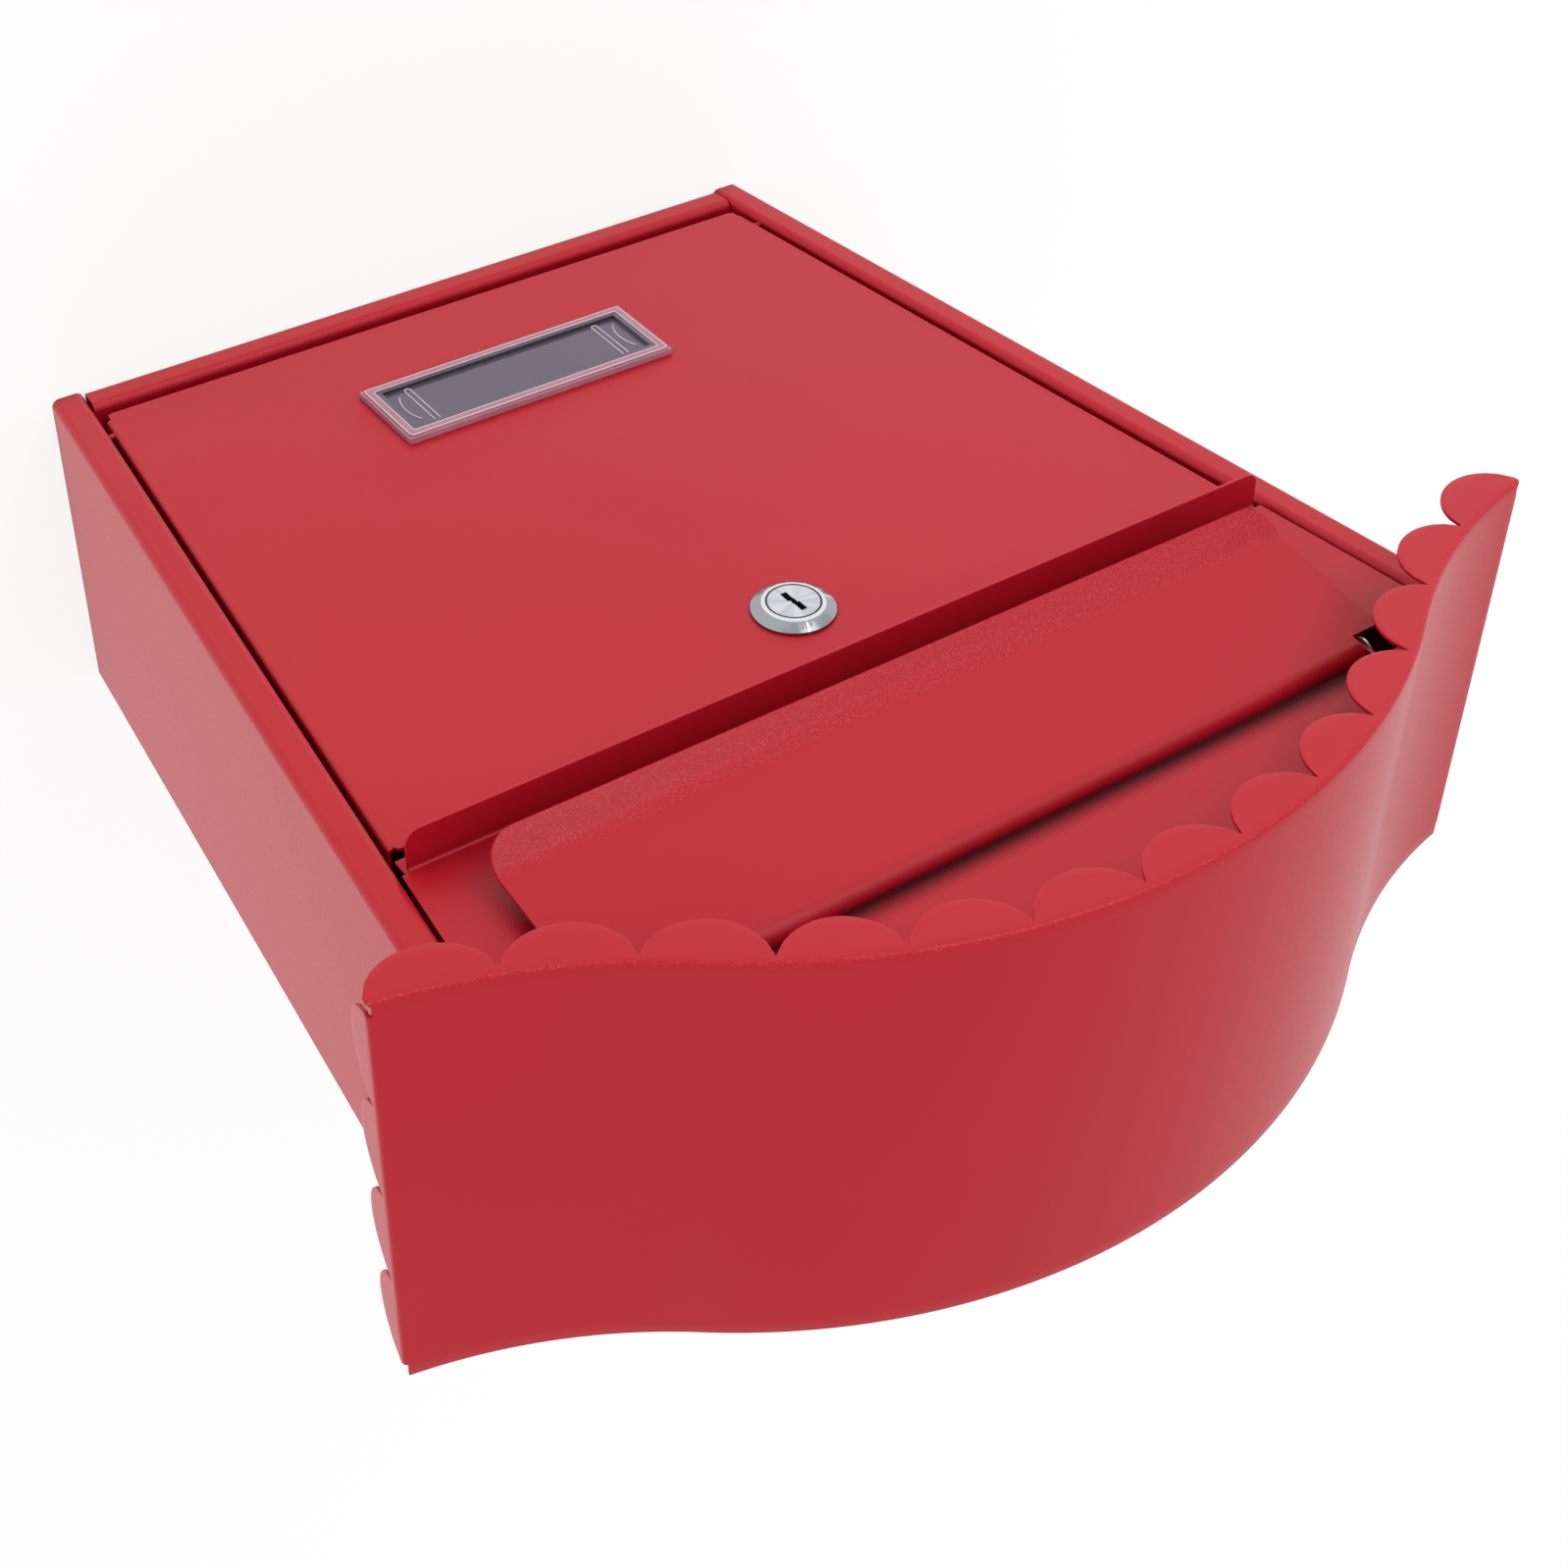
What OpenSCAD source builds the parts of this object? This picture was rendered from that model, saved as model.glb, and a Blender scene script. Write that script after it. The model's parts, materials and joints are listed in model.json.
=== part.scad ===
// Wall mailbox of bent steel sheet: a body that widens upwards, a bell-shaped roof
// with scalloped edges, a letter flap, a hinged door with a cam lock and a name holder.
// Row frame: X across, front faces -Y, wall side +Y, Z up. Millimetres and degrees.

/* [Body] */
// Width across the bottom of the body
bottom_w = 250; // [230:1:280]
// Depth from the front lips to the wall
depth = 105; // [95:1:130]
// Lean of each side away from the vertical
lean = 6.7; // [5.5:0.1:7.4]
// Thickness of the painted sheet
sheet = 1; // [0.8:0.1:1.2]
// Outer radius of the body's bends
bend_r = 2.5; // [2:0.1:4]
// Width of the front lips on the sides
lip_w = 10; // [8:0.5:12]
// Depth of the lips' inward returns
lip_ret = 12; // [10:0.5:16]
// Height of the rail along the bottom
rail_h = 9.5; // [8:0.5:10]

/* [Roof] */
// Height of the roof's crown above the floor
roof_top = 367; // [362:1:380]
// Width across the eaves
roof_w = 364; // [356:1:380]
// Radius of the rounded crown
crown_r = 188; // [180:1:200]
// Half of the width that the crown spans
crown_half = 114; // [110:1:118]
// Radius of the hollow sweep out to each eave
hollow_r = 160; // [150:1:170]
// Reach of the roof in front of the lips
overhang = 25; // [20:1:35]
// Number of scallops along the front edge
scallops = 13; // [9:2:17]
// Number of scallops along each side edge
side_scallops = 4; // [3:1:6]
// Depth of a scallop from the fold to its tip
scallop_d = 14.2; // [10:0.2:16]
// Strip left between the fold and the cusps
cusp_d = 2.4; // [1:0.1:4]

/* [Letter slot and flap] */
// Height of the flap's hinge line above the floor
hinge_z = 304; // [303:0.5:305]
// Distance of the hinge line behind the front lips
hinge_y = 5; // [5:0.1:5.5]
// Half of the flap's width
flap_half = 127.5; // [124:0.5:130]
// Length of the flap from its hinge line to the fold
flap_l = 43; // [41:0.5:45]
// Tilt of the flap away from the vertical
flap_tilt = 8.5; // [7.5:0.1:9.5]
// Length of the lip along the flap's lower edge
flap_lip = 11.4; // [9:0.2:13]
// Outward bend of that lip against the flap
flap_bend = 30; // [20:1:35]
// Outer radius of the roll along the hinge line
roll_r = 5.2; // [5:0.1:5.4]
// Radius of the hinge rod
rod_r = 2; // [1.6:0.1:2.4]
// Height of the slot's lower edge
slot_z = 268; // [266:1:270]
// Height of the rain lip under the upper panel
rain_z = 238.8; // [236:0.2:242]
// Reach of the rain lip in front of the lips
rain_y = 10.7; // [8:0.1:14]

/* [Door] */
// Height of the door's lower edge
door_z0 = 12.5; // [12:0.1:14]
// Gap between the door and the side lips
door_gap = 1.5; // [1.3:0.1:2]
// Set-back of the door's face behind the lips
door_y = 1.5; // [1.2:0.1:2]
// Depth of the door's folded returns
door_ret = 16; // [13:0.5:17]
// Width of the hems turned in along the returns
door_hem = 8; // [5:0.5:10]
// Height of the door's pins above the floor
pin_z = 23.6; // [23:0.1:26]
// Radius of the door's pins
pin_r = 1; // [0.9:0.05:1.1]

/* [Lock] */
// Height of the lock above the floor
lock_z = 206; // [200:1:208]
// Diameter of the lock's bevelled face ring
bezel_d = 24; // [22:0.5:26]
// Diameter of the lock's barrel
barrel_d = 18; // [17:0.5:19]
// Length of the barrel behind the door's face
barrel_l = 18; // [14:0.5:20]
// Radius of the turning plug
plug_r = 6.5; // [6:0.1:7]
// Reach of the cam from the lock's centre
cam_l = 38; // [37:0.5:40]

/* [Name holder] */
// Height of the holder's centre above the floor
name_z = 62; // [56:1:80]
// Width of the holder
name_w = 93; // [80:1:100]
// Height of the holder
name_h = 31; // [26:1:36]

/* [Wall fixing] */
// Side of the square of fixing holes in the back
fix_square = 140; // [120:1:150]
// Height of the middle of that square
fix_z = 130; // [110:1:140]
// Radius of the fixing holes
fix_r = 3.25; // [2.5:0.25:4]

/* [Hidden] */

paint = [0.75, 0.12, 0.16];
steel = [0.7, 0.7, 0.72];
chrome = [0.85, 0.85, 0.87];
clear = [0.85, 0.87, 0.9, 0.4];
t = sheet;
seat = 0.1;
run_gap = 0.05;
k = tan(lean);
half_w = bottom_w / 2;
yc = (depth - overhang) / 2;
th = asin(crown_half / crown_r);
crown_z = roof_top - crown_r;
hollow_x = crown_half + hollow_r * sin(th);
hollow_z = crown_z + crown_r * cos(th) + hollow_r * cos(th);
eave_a = asin((hollow_x - roof_w / 2) / hollow_r);
eave_x = roof_w / 2;
eave_z = hollow_z - hollow_r * cos(eave_a);
deg = 3.14159265 / 180;
crown_s = crown_r * th * deg;
half_s = crown_s + hollow_r * (th - eave_a) * deg;
pitch = 2 * half_s / scallops;
scallop_h = scallop_d - cusp_d;
scallop_r = (pitch * pitch / 4 + scallop_h * scallop_h) / (2 * scallop_h);
side_m = 4.2;
side_p = (depth + overhang - 2 * side_m) / side_scallops;
side_r = (side_p * side_p / 4 + scallop_h * scallop_h) / (2 * scallop_h);
panel_y = 1;
panel_gap = 1;
panel_edge = lip_w + panel_gap;
slot_top = hinge_z + roll_r + 2.3;
slot_half = flap_half - 8.5;
roll_half = slot_half - 1;
bracket_x = roll_half + 1.5;
bracket_t = 1.2;
ear_t = 1.2;
door_z1 = rain_z - 5.8;
door_edge = lip_w + door_gap;
door_r = 1.6;
corner_r = 4;
pin_y = door_y + 0.45 + pin_r;
pin_x = half_w + k * pin_z - lip_w / cos(lean);
pin_in = pin_x - (door_gap + t) / cos(lean) - 0.3;
plug_head = plug_r + 1.1;
face_y = door_y - 3;
plug_end = door_y + barrel_l + 1;
shank = 8;
cam_t = 2;
cam_w = 14;
cam_tip_y = panel_y + 2 * t + 0.6;
back_y = depth - t;

module ycyl(r, y0, y1, x, z)
    translate([x, y0, z]) rotate([-90, 0, 0]) cylinder(r = r, h = y1 - y0);

module xcyl(r, x0, x1, y, z)
    translate([x0, y, z]) rotate([0, 90, 0]) cylinder(r = r, h = x1 - x0);

// From the body's own frame, with y 0 on the front lips, to the middle of the whole box.
module in_row() translate([0, -yc, 0]) children();

module block(x0, x1, y0, y1, z0, z1)
    translate([x0, y0, z0]) cube([x1 - x0, y1 - y0, z1 - z0]);

module yprism(pts, y0, y1)
    translate([0, y1, 0]) rotate([90, 0, 0]) linear_extrude(height = y1 - y0) polygon(pts);

// A quarter of a bend, standing along Z, between +X and +Y before it is turned by a.
module bend(r, h, a)
    rotate([0, 0, a]) difference() {
        intersection() {
            cylinder(r = r, h = h);
            cube([r, r, h]);
        }
        translate([0, 0, -1]) cylinder(r = r - t, h = h + 2);
    }

// The same bend lying along X from x0 to x1, with a turning it about X.
module xbend(r, x0, x1, y, z, a)
    translate([x0, y, z]) rotate([a, 0, 0]) difference() {
        intersection() {
            rotate([0, 90, 0]) cylinder(r = r, h = x1 - x0);
            cube([x1 - x0, r, r]);
        }
        translate([-1, 0, 0]) rotate([0, 90, 0]) cylinder(r = r - t, h = x1 - x0 + 2);
    }

module both() {
    children();
    mirror([1, 0, 0]) children();
}

// Frame of the leaning side: x 0 is its outer face, z runs up along the sheet.
module on_side() translate([half_w, 0, 0]) rotate([0, lean, 0]) children();

module crown_wedge(y0, y1) {
    l = 1.5 * crown_r;
    yprism([[0, crown_z], [l * sin(th), crown_z + l * cos(th)],
        [-l * sin(th), crown_z + l * cos(th)]], y0, y1);
}

// Everything below the roof's curve, moved in by o from its outer face.
module under(o, y0, y1, z0 = 0)
    difference() {
        block(-200, 200, y0, y1, z0, roof_top + 5);
        both() ycyl(hollow_r + o, y0 - 1, y1 + 1, hollow_x, hollow_z);
        difference() {
            crown_wedge(y0 - 1, y1 + 1);
            ycyl(crown_r - o, y0 - 2, y1 + 2, 0, crown_z);
        }
    }

module strip(y0, y1, half)
    intersection() {
        difference() {
            under(t + seat, y0, y1, 250);
            under(2 * t + seat, y0 - 1, y1 + 1, 249);
        }
        block(-half, half, y0, y1, 250, roof_top);
    }

module casing() color(paint) in_row() difference() {
    union() {
        intersection() {
            union() {
                both() on_side() {
                    block(-t, 0, bend_r, depth - bend_r, -30, 400);
                    translate([-bend_r, bend_r, -30]) bend(bend_r, 430, -90);
                    translate([-bend_r, depth - bend_r, -30]) bend(bend_r, 430, 0);
                    block(-lip_w + bend_r, -bend_r, 0, t, -30, 400);
                    translate([-lip_w + bend_r, bend_r, -30]) bend(bend_r, 430, 180);
                    block(-lip_w, -lip_w + t, bend_r, lip_ret, -30, 400);
                }
                both() intersection() {
                    on_side() block(-220, -bend_r, back_y, depth, -30, 400);
                    block(0, 300, 0, depth + 1, -10, roof_top + 10);
                }
            }
            under(t + seat, -1, depth + 1);
        }
        strip(back_y - 10, depth, crown_half + 28);
    }
    for (sx = [-1, 1], sz = [-1, 1])
        ycyl(fix_r, back_y - 2, depth + 2, sx * fix_square / 2, fix_z + sz * fix_square / 2);
    both() xcyl(pin_r, pin_x - 3, pin_x + 4, pin_y, pin_z);
}

module bottom_panel() color(paint) in_row() difference() {
    fh = half_w - t / cos(lean) - seat;
    rh = half_w - lip_w - 2;
    union() {
        block(-fh, fh, lip_ret + 0.6, back_y - seat, 0, t);
        block(-rh, rh, bend_r, lip_ret + 1, 0, t);
        xbend(bend_r, -rh, rh, bend_r, bend_r, 180);
        block(-rh, rh, 0, t, bend_r, rail_h - bend_r);
        xbend(bend_r, -rh, rh, bend_r, rail_h - bend_r, 90);
        block(-rh, rh, bend_r, 9, rail_h - t, rail_h);
        block(-fh + 12, fh - 12, back_y - seat - t, back_y - seat, 0, 14);
        both() intersection() {
            on_side() block(-2 * t - seat, -t - seat, 16, back_y - 4, -2, 14);
            block(0, 200, 0, depth, 0, 20);
        }
    }
    both() block(fh - bend_r, fh + 1, back_y - bend_r, depth, -1, t + 1);
    for (sx = [-1, 1]) translate([sx * half_w * 0.6, depth * 0.55, -1]) cylinder(r = 2.5, h = t + 2);
}

module front_panel() color(paint) in_row() {
    z0 = rain_z + t + 1;
    e = half_w - panel_edge / cos(lean);
    rl = e + k * rain_z - 2;
    difference() {
        intersection() {
            union() {
                yprism([[-e - k * z0, z0], [e + k * z0, z0], [e + k * 380, 380],
                    [-e - k * 380, 380]], panel_y, panel_y + t);
                both() on_side() {
                    block(-panel_edge - t, -panel_edge, panel_y, lip_ret + t, rain_z + 8, 400);
                    block(-panel_edge - t, -t - 1, lip_ret, lip_ret + t, rain_z + 8, 400);
                }
            }
            under(t + seat, -1, depth);
        }
        block(-slot_half, slot_half, -1, 5, slot_z, slot_top);
        block(-flap_half - 4.5, flap_half + 4.5, -1, 5, hinge_z - 4, slot_top);
    }
    strip(panel_y, panel_y + 10, crown_half + 28);
    // rain lip with rounded corners, and its bend
    block(-rl, rl, -rain_y + corner_r, panel_y - 1, rain_z, rain_z + t);
    block(-rl + corner_r, rl - corner_r, -rain_y, -rain_y + corner_r, rain_z, rain_z + t);
    both() translate([rl - corner_r, corner_r - rain_y, rain_z]) cylinder(r = corner_r, h = t);
    xbend(t + 1, -rl, rl, panel_y - 1, rain_z + t + 1, -90);
    // turned-out edge that the flap rests on
    sy = hinge_y - roll_r * cos(flap_tilt) - (hinge_z + roll_r * sin(flap_tilt) - slot_z) * tan(flap_tilt);
    block(-slot_half + 19, slot_half - 19, sy + t / cos(flap_tilt) + seat, panel_y + t, slot_z - t, slot_z);
}

module cross_rail() color(paint) in_row() {
    z1 = rain_z + 11;
    e = half_w + k * door_z1 - (panel_edge + 0.5) / cos(lean);
    block(-e, e, panel_y + t, panel_y + 2 * t, door_z1 + 1.2, z1);
}

module hinge_brackets() color(paint) in_row() both() {
    y0 = panel_y + t;
    difference() {
        union() {
            block(bracket_x, bracket_x + bracket_t, y0, hinge_y + 2, hinge_z - 16, hinge_z + 5);
            block(bracket_x, bracket_x + bracket_t, y0, hinge_y + 5, hinge_z - 16, hinge_z);
            intersection() {
                xcyl(5, bracket_x, bracket_x + bracket_t, hinge_y, hinge_z);
                block(0, 200, y0, depth, 0, roof_top);
            }
            block(bracket_x, bracket_x + 10.5, y0, y0 + bracket_t, hinge_z - 16, hinge_z - 5);
        }
        xcyl(rod_r, bracket_x - 1, bracket_x + bracket_t + 1, hinge_y, hinge_z);
    }
}

function crown_pt(s) = [crown_r * sin(s / crown_r / deg), crown_z + crown_r * cos(s / crown_r / deg),
    s / crown_r / deg];
function hollow_a(s) = th - (s - crown_s) / hollow_r / deg;
function hollow_pt(s) = [hollow_x - hollow_r * sin(hollow_a(s)), hollow_z - hollow_r * cos(hollow_a(s)),
    hollow_a(s)];
function curve(s) = s <= crown_s ? crown_pt(s) : hollow_pt(s);

module roof_hollow(y0, y1) intersection() {
    l = 1.5 * hollow_r;
    difference() {
        ycyl(hollow_r + t, y0, y1, hollow_x, hollow_z);
        ycyl(hollow_r, y0 - 1, y1 + 1, hollow_x, hollow_z);
    }
    yprism([[hollow_x, hollow_z], [hollow_x - l * sin(th), hollow_z - l * cos(th)],
        [hollow_x - l * sin(eave_a), hollow_z - l * cos(eave_a)]], y0 - 1, y1 + 1);
}

module roof() color(paint) in_row() {
    y0 = -overhang;
    intersection() {
        difference() {
            ycyl(crown_r, y0, depth, 0, crown_z);
            ycyl(crown_r - t, y0 - 1, depth + 1, 0, crown_z);
        }
        crown_wedge(y0 - 1, depth + 1);
    }
    both() roof_hollow(y0, depth);
    // front edge, folded down and cut to scallops
    intersection() {
        under(0, y0, y0 + t, 200);
        block(-eave_x, eave_x, y0, y0 + t, 200, roof_top + 5);
        for (i = [0 : (scallops - 1) / 2]) {
            p = curve(i * pitch);
            c = scallop_d - scallop_r;
            for (m = i > 0 ? [-1, 1] : [1])
                ycyl(scallop_r, y0, y0 + t, m * (p[0] - c * sin(p[2])), p[1] - c * cos(p[2]));
        }
    }
    // side edges
    both() translate([eave_x, 0, eave_z]) rotate([0, eave_a, 0]) intersection() {
        block(-t, 0, y0 + side_m - 1, depth - side_m + 1, -40, 0);
        for (i = [0 : side_scallops - 1])
            xcyl(side_r, -t, 0, y0 + side_m + (i + 0.5) * side_p, side_r - scallop_d);
    }
}

module flap() color(paint) in_row() translate([0, hinge_y, hinge_z]) rotate([-flap_tilt, 0, 0]) {
    difference() {
        union() {
            block(-flap_half, flap_half, -roll_r, t - roll_r, -flap_l, -2.6);
            block(-roll_half, roll_half, -roll_r, t - roll_r, -2.7, 0);
            difference() {
                xcyl(roll_r, -roll_half, roll_half, 0, 0);
                xcyl(roll_r - t, -roll_half + ear_t, roll_half - ear_t, 0, 0);
                block(-roll_half + ear_t, roll_half - ear_t, -9, 0, -9, 0);
            }
        }
        xcyl(rod_r + run_gap, -roll_half - 1, roll_half + 1, 0, 0);
    }
    translate([0, t - roll_r, -flap_l]) rotate([-flap_bend, 0, 0]) {
        cr = min(9, flap_lip - 1);
        block(-flap_half, flap_half, -t, 0, cr - flap_lip, 0);
        block(-flap_half + cr, flap_half - cr, -t, 0, -flap_lip, cr - flap_lip);
        both() ycyl(cr, -t, 0, flap_half - cr, cr - flap_lip);
    }
}

module flap_rod() color(steel) in_row()
    xcyl(rod_r, -bracket_x - bracket_t - 2.2, bracket_x + bracket_t + 2.2, hinge_y, hinge_z);

module rod_clips() color(steel) in_row() both() difference() {
    x0 = bracket_x + bracket_t + seat;
    xcyl(2.1 * rod_r, x0, x0 + 0.6, hinge_y, hinge_z);
    xcyl(rod_r, x0 - 1, x0 + 2, hinge_y, hinge_z);
}

module door() color(paint) in_row() difference() {
    y1 = door_y + t;
    yr = door_y + door_ret;
    e = half_w - door_edge / cos(lean);
    ei = e - door_r / cos(lean);
    za = door_z0 + door_r;
    zb = door_z1 - door_r;
    cr = corner_r - door_r;
    tx = ei + k * (zb - cr) - cr;
    bx = ei + k * za - 1;
    union() {
        // face, with its upper corners rounded
        both() difference() {
            intersection() {
                on_side() block(-220, -door_edge - door_r, door_y, y1, -20, 300);
                block(0, 300, 0, yr, za, zb);
            }
            difference() {
                block(tx, tx + 9, 0, yr, zb - cr, zb + 9);
                ycyl(cr, -1, yr + 1, tx + 0.05, zb - cr + 0.05);
            }
        }
        // side bends and returns
        both() on_side() {
            z0 = (door_z0 + 3) / cos(lean);
            z1 = (zb - cr) / cos(lean);
            translate([-door_edge - door_r, door_y + door_r, z0]) bend(door_r, z1 - z0, -90);
            block(-door_edge - t, -door_edge, door_y + door_r, yr, z0, z1);
            block(-door_edge - door_hem, -door_edge, yr - t, yr, z0, z1 - door_hem);
        }
        // top bend and return
        xbend(door_r, -tx, tx, door_y + door_r, zb, 90);
        block(-tx, tx, door_y, y1, zb - 2, zb);
        block(-tx, tx, door_y + door_r, yr, door_z1 - t, door_z1);
        block(-tx + 2, tx - 2, yr - t, yr, door_z1 - door_hem, door_z1);
        // bottom bend and return
        xbend(door_r, -bx, bx, door_y + door_r, door_z0 + door_r, 180);
        block(-bx, bx, door_y + door_r, door_y + 8, door_z0, door_z0 + t);
    }
    ycyl(barrel_d / 2 + run_gap, door_y - 1, y1 + 1, 0, lock_z);
    block(-name_w / 2 + 6, name_w / 2 - 6, door_y - 1, y1 + 1, name_z - name_h / 2 + 6, name_z + name_h / 2 - 6);
    // room for the cam in the top return
    block(-cam_w / 2 - 2, cam_l * 0.75 + 6, cam_tip_y - 0.5, yr + 1, door_z1 - door_hem - 1, door_z1 + 1);
    both() xcyl(pin_r + run_gap, pin_in - 0.2, pin_x + 2, pin_y, pin_z);
}

module door_pins() color(steel) in_row() both() {
    head_x = pin_x + t + 0.75;
    xcyl(pin_r, pin_in, head_x + 0.5, pin_y, pin_z);
    xcyl(pin_r + 0.5, head_x + 0.1, head_x + 1.1, pin_y, pin_z);
}

module lock_housing() color(chrome) in_row() difference() {
    union() {
        ycyl(bezel_d / 2, door_y - 0.9, door_y, 0, lock_z);
        translate([0, door_y - 0.9, lock_z]) rotate([90, 0, 0])
            cylinder(r1 = bezel_d / 2, r2 = plug_head + 0.9, h = 2.1);
        intersection() {
            ycyl(barrel_d / 2, door_y - 0.5, door_y + barrel_l, 0, lock_z);
            block(-barrel_d / 2 + 0.8, barrel_d / 2 - 0.8, door_y - 1, door_y + 30, lock_z - 20, lock_z + 20);
        }
    }
    ycyl(plug_r + run_gap, face_y - 1, door_y + barrel_l + 1, 0, lock_z);
    ycyl(plug_head + run_gap, face_y - 1, face_y + 1.2, 0, lock_z);
}

module lock_nut() color(steel) in_row() difference() {
    y0 = door_y + t;
    translate([0, y0, lock_z]) rotate([-90, 30, 0]) cylinder(r = barrel_d * 0.7, h = 3, $fn = 6);
    ycyl(barrel_d / 2, y0 - 1, y0 + 4, 0, lock_z);
}

module lock_plug() color(chrome) in_row() difference() {
    union() {
        ycyl(plug_head, face_y, face_y + 1.1, 0, lock_z);
        ycyl(plug_r, face_y + 0.5, plug_end, 0, lock_z);
        block(-shank / 2, shank / 2, plug_end - 0.5, plug_end + cam_t, lock_z - shank / 2, lock_z + shank / 2);
    }
    // keyway with its side wards
    block(-0.6, 1.3, face_y - 1, face_y + 14, lock_z - 4.6, lock_z - 0.8);
    block(-0.75, 0.75, face_y - 1, face_y + 14, lock_z - 1.2, lock_z + 1.2);
    block(-1.3, 0.6, face_y - 1, face_y + 14, lock_z + 0.8, lock_z + 4.6);
    ycyl(1.6, plug_end - 6, plug_end + cam_t + 1, 0, lock_z);
}

module cam() color(steel) in_row() difference() {
    y0 = plug_end + 0.02;
    w = cam_w / 2;
    x1 = cam_l * 0.55;
    union() {
        ycyl(w, y0, y0 + cam_t, 0, lock_z);
        block(0, x1, y0, y0 + cam_t, lock_z - w, lock_z + w);
        block(x1 - cam_t, x1, cam_tip_y, y0 + cam_t, lock_z - w, lock_z + w);
        block(x1 - cam_t, cam_l - 5, cam_tip_y, cam_tip_y + cam_t, lock_z - w, lock_z + w);
        for (m = [-1, 1]) ycyl(5, cam_tip_y, cam_tip_y + cam_t, cam_l - 5, lock_z + m * (w - 5));
    }
    block(-shank / 2 - 0.05, shank / 2 + 0.05, y0 - 1, y0 + cam_t + 1, lock_z - shank / 2 - 0.05, lock_z + shank / 2 + 0.05);
}

module cam_washer() color(steel) in_row() difference() {
    ycyl(6.5, plug_end + cam_t + seat, plug_end + cam_t + seat + 0.8, 0, lock_z);
    ycyl(1.7, plug_end, plug_end + cam_t + 2, 0, lock_z);
}

module cam_screw() color(steel) in_row() difference() {
    y0 = plug_end + cam_t + seat + 0.8;
    union() {
        ycyl(1.6, plug_end - 5, y0 + 0.5, 0, lock_z);
        ycyl(3.6, y0, y0 + 2.2, 0, lock_z);
    }
    block(-3, 3, y0 + 1.2, y0 + 3, lock_z - 0.4, lock_z + 0.4);
    block(-0.4, 0.4, y0 + 1.2, y0 + 3, lock_z - 3, lock_z + 3);
}

module name_holder() color(clear) in_row() difference() {
    w = name_w / 2;
    h = name_h / 2;
    y0 = door_y - 2.4;
    union() {
        block(-w, w, y0 + 0.6, door_y, name_z - h, name_z + h);
        block(-w + 1, w - 1, y0, door_y, name_z - h + 1, name_z + h - 1);
        // tray that sits in the door's cut-out, with hooks behind the sheet
        block(-w + 6.1, w - 6.1, door_y, door_y + t + 0.2, name_z - h + 6.1, name_z + h - 6.1);
        for (sx = [-1, 1], sz = [-1, 1])
            block(sx * (w - 22) - 3, sx * (w - 22) + 3, door_y + t + 0.1, door_y + t + 1.6,
                name_z + sz * (h - 6.5) - 1.2, name_z + sz * (h - 6.5) + 1.2);
    }
    block(-w + 5, w - 5, y0 - 1, y0 + 1.2, name_z - h + 5, name_z + h - 5);
    block(-w + 7.2, w - 7.2, door_y + 0.1, door_y + 4, name_z - h + 7.2, name_z + h - 7.2);
}

casing();
bottom_panel();
front_panel();
cross_rail();
hinge_brackets();
roof();
flap();
flap_rod();
rod_clips();
door();
door_pins();
lock_housing();
lock_nut();
lock_plug();
cam();
cam_washer();
cam_screw();
name_holder();
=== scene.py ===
# %% [markdown]
# # A wall mailbox in red powder coat
# The mailbox is folded from 1 mm steel sheet and painted. Its construction comes ready made as a fixed
# frame, in metres, with Z up, the front towards -Y and the middle of its floor at the origin. This lesson
# gives each piece the surface that the real one has, builds the roof anew as a smooth sheet with
# Geometry Nodes, and sets up the camera and the light.

# %% Load the frame
import json
import math

import bmesh
import bpy
import mathutils
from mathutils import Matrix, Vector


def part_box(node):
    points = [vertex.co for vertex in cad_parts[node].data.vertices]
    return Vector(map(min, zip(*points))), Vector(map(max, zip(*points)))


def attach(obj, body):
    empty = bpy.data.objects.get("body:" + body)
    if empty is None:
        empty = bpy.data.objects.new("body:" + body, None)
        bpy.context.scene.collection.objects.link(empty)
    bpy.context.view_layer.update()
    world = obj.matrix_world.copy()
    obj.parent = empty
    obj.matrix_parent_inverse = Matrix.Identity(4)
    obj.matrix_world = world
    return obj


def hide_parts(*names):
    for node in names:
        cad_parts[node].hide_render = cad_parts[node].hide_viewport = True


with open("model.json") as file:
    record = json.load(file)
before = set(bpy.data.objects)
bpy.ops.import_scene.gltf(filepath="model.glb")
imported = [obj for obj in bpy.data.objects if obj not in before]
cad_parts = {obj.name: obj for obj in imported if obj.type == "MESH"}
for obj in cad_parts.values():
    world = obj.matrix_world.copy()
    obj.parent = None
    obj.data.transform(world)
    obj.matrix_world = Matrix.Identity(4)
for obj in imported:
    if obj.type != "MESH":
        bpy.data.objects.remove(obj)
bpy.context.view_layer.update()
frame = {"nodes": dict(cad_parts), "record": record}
bodies = {node: body for body, nodes in frame["record"]["behaviour"]["bodies"].items() for node in nodes}
mm = 0.001

# %% [markdown]
# ## One helper for every node tree
# Shader trees and geometry trees are both made of nodes, sockets and links. A helper that makes a node,
# fills its sockets with values or links and hands it back keeps the later cells short enough to read.

# %% Helpers for nodes


def add(tree, kind, inputs=None, **settings):
    """Adds a node. A socket as a value is linked, and anything else is set as the constant."""
    node = tree.nodes.new(kind)
    for key, value in settings.items():
        setattr(node, key, value)
    for key, value in (inputs or {}).items():
        if isinstance(value, bpy.types.NodeSocket):
            tree.links.new(value, node.inputs[key])
        else:
            node.inputs[key].default_value = value
    return node


def calc(tree, operation, *values):
    """One step of arithmetic."""
    return add(tree, "ShaderNodeMath", dict(enumerate(values)), operation=operation).outputs[0]


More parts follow.
